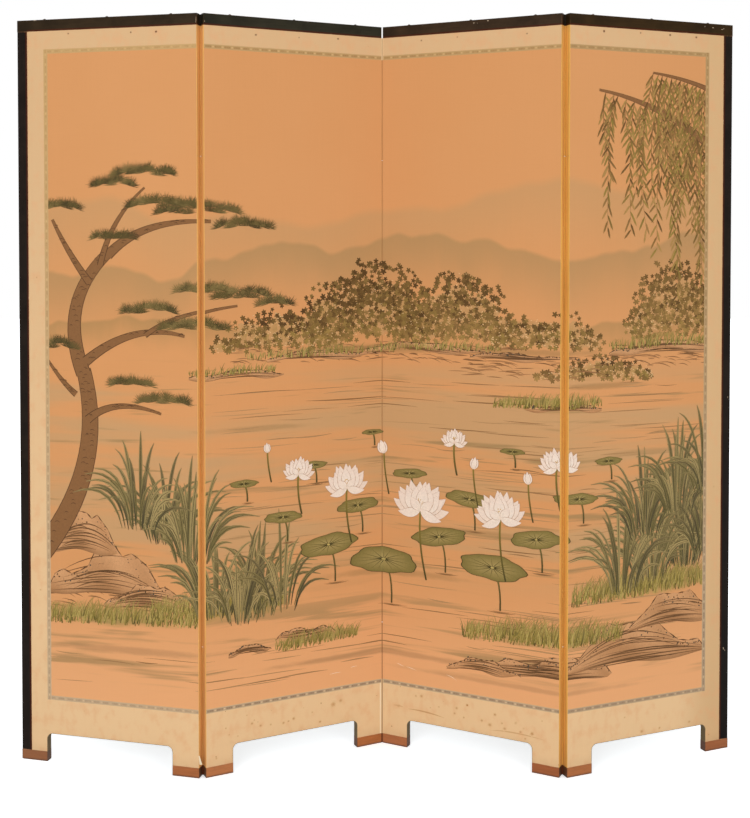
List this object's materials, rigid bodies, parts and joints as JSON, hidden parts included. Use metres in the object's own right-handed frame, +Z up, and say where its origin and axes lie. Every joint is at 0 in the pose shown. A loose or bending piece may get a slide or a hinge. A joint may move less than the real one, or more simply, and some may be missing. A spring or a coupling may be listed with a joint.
{
  "type": "folding screen",
  "caption": "Free-standing folding screen of hinged silk-faced lattice panels on short legs, with a black lacquered rail and stiles, plain silk border, patterned band and wooden shoes.",
  "frame": {"origin": "on the floor, under the middle of the standing screen's box", "axes": "+Z up, fronts of the panels towards -Y, panel 1 at the -X end and panel 4 at the +X end"},
  "size_m": [1.747, 0.2216, 1.8032],
  "materials": {
    "picture_silk": "painted silk",
    "border_silk": "plain silk",
    "patterned_band": "woven silk band",
    "paper_board": "layered paper",
    "back_cloth": "plain cloth",
    "hinge_cloth": "woven cloth",
    "core_wood": "bare softwood",
    "black_lacquer": "satin lacquer",
    "shoe_wood": "oiled wood",
    "nail_steel": "dulled"
  },
  "bodies": {
    "panel_1": {"fold_1_cloth_on_panel_1": "hinge_cloth", "left_outer_stile": "black_lacquer", "panel_1_back_cover": "back_cloth", "panel_1_border_silk": "border_silk", "panel_1_core_rails": "core_wood", "panel_1_core_stiles": "core_wood", "panel_1_corner_blocks": "core_wood", "panel_1_cutout_lining": "back_cloth", "panel_1_front_board": "paper_board", "panel_1_lattice_bars": "core_wood", "panel_1_nails": "nail_steel", "panel_1_patterned_band": "patterned_band", "panel_1_picture_silk": "picture_silk", "panel_1_shoes": "shoe_wood", "panel_1_top_rail": "black_lacquer"},
    "panel_2": {"fold_1_cloth_on_panel_2": "hinge_cloth", "fold_2_cloth_on_panel_2": "hinge_cloth", "panel_2_back_cover": "back_cloth", "panel_2_border_silk": "border_silk", "panel_2_core_rails": "core_wood", "panel_2_core_stiles": "core_wood", "panel_2_corner_blocks": "core_wood", "panel_2_cutout_lining": "back_cloth", "panel_2_front_board": "paper_board", "panel_2_lattice_bars": "core_wood", "panel_2_nails": "nail_steel", "panel_2_patterned_band": "patterned_band", "panel_2_picture_silk": "picture_silk", "panel_2_shoes": "shoe_wood", "panel_2_top_rail": "black_lacquer"},
    "panel_3": {"fold_2_cloth_on_panel_3": "hinge_cloth", "fold_3_cloth_on_panel_3": "hinge_cloth", "panel_3_back_cover": "back_cloth", "panel_3_border_silk": "border_silk", "panel_3_core_rails": "core_wood", "panel_3_core_stiles": "core_wood", "panel_3_corner_blocks": "core_wood", "panel_3_cutout_lining": "back_cloth", "panel_3_front_board": "paper_board", "panel_3_lattice_bars": "core_wood", "panel_3_nails": "nail_steel", "panel_3_patterned_band": "patterned_band", "panel_3_picture_silk": "picture_silk", "panel_3_shoes": "shoe_wood", "panel_3_top_rail": "black_lacquer"},
    "panel_4": {"fold_3_cloth_on_panel_4": "hinge_cloth", "panel_4_back_cover": "back_cloth", "panel_4_border_silk": "border_silk", "panel_4_core_rails": "core_wood", "panel_4_core_stiles": "core_wood", "panel_4_corner_blocks": "core_wood", "panel_4_cutout_lining": "back_cloth", "panel_4_front_board": "paper_board", "panel_4_lattice_bars": "core_wood", "panel_4_nails": "nail_steel", "panel_4_patterned_band": "patterned_band", "panel_4_picture_silk": "picture_silk", "panel_4_shoes": "shoe_wood", "panel_4_top_rail": "black_lacquer", "right_outer_stile": "black_lacquer"}
  },
  "joints": [
    {"name": "fold_1", "type": "hinge", "parent": "panel_1", "child": "panel_2", "pos_m": [-0.41836, -0.09217, 0], "axis": [0, 0, 1], "range_deg": [-40, 140]},
    {"name": "fold_2", "type": "hinge", "parent": "panel_2", "child": "panel_3", "pos_m": [0.00871, 0.09387, 0], "axis": [0, 0, -1], "range_deg": [-52, 128]},
    {"name": "fold_3", "type": "hinge", "parent": "panel_3", "child": "panel_4", "pos_m": [0.43577, -0.09217, 0], "axis": [0, 0, 1], "range_deg": [-48, 132]}
  ]
}
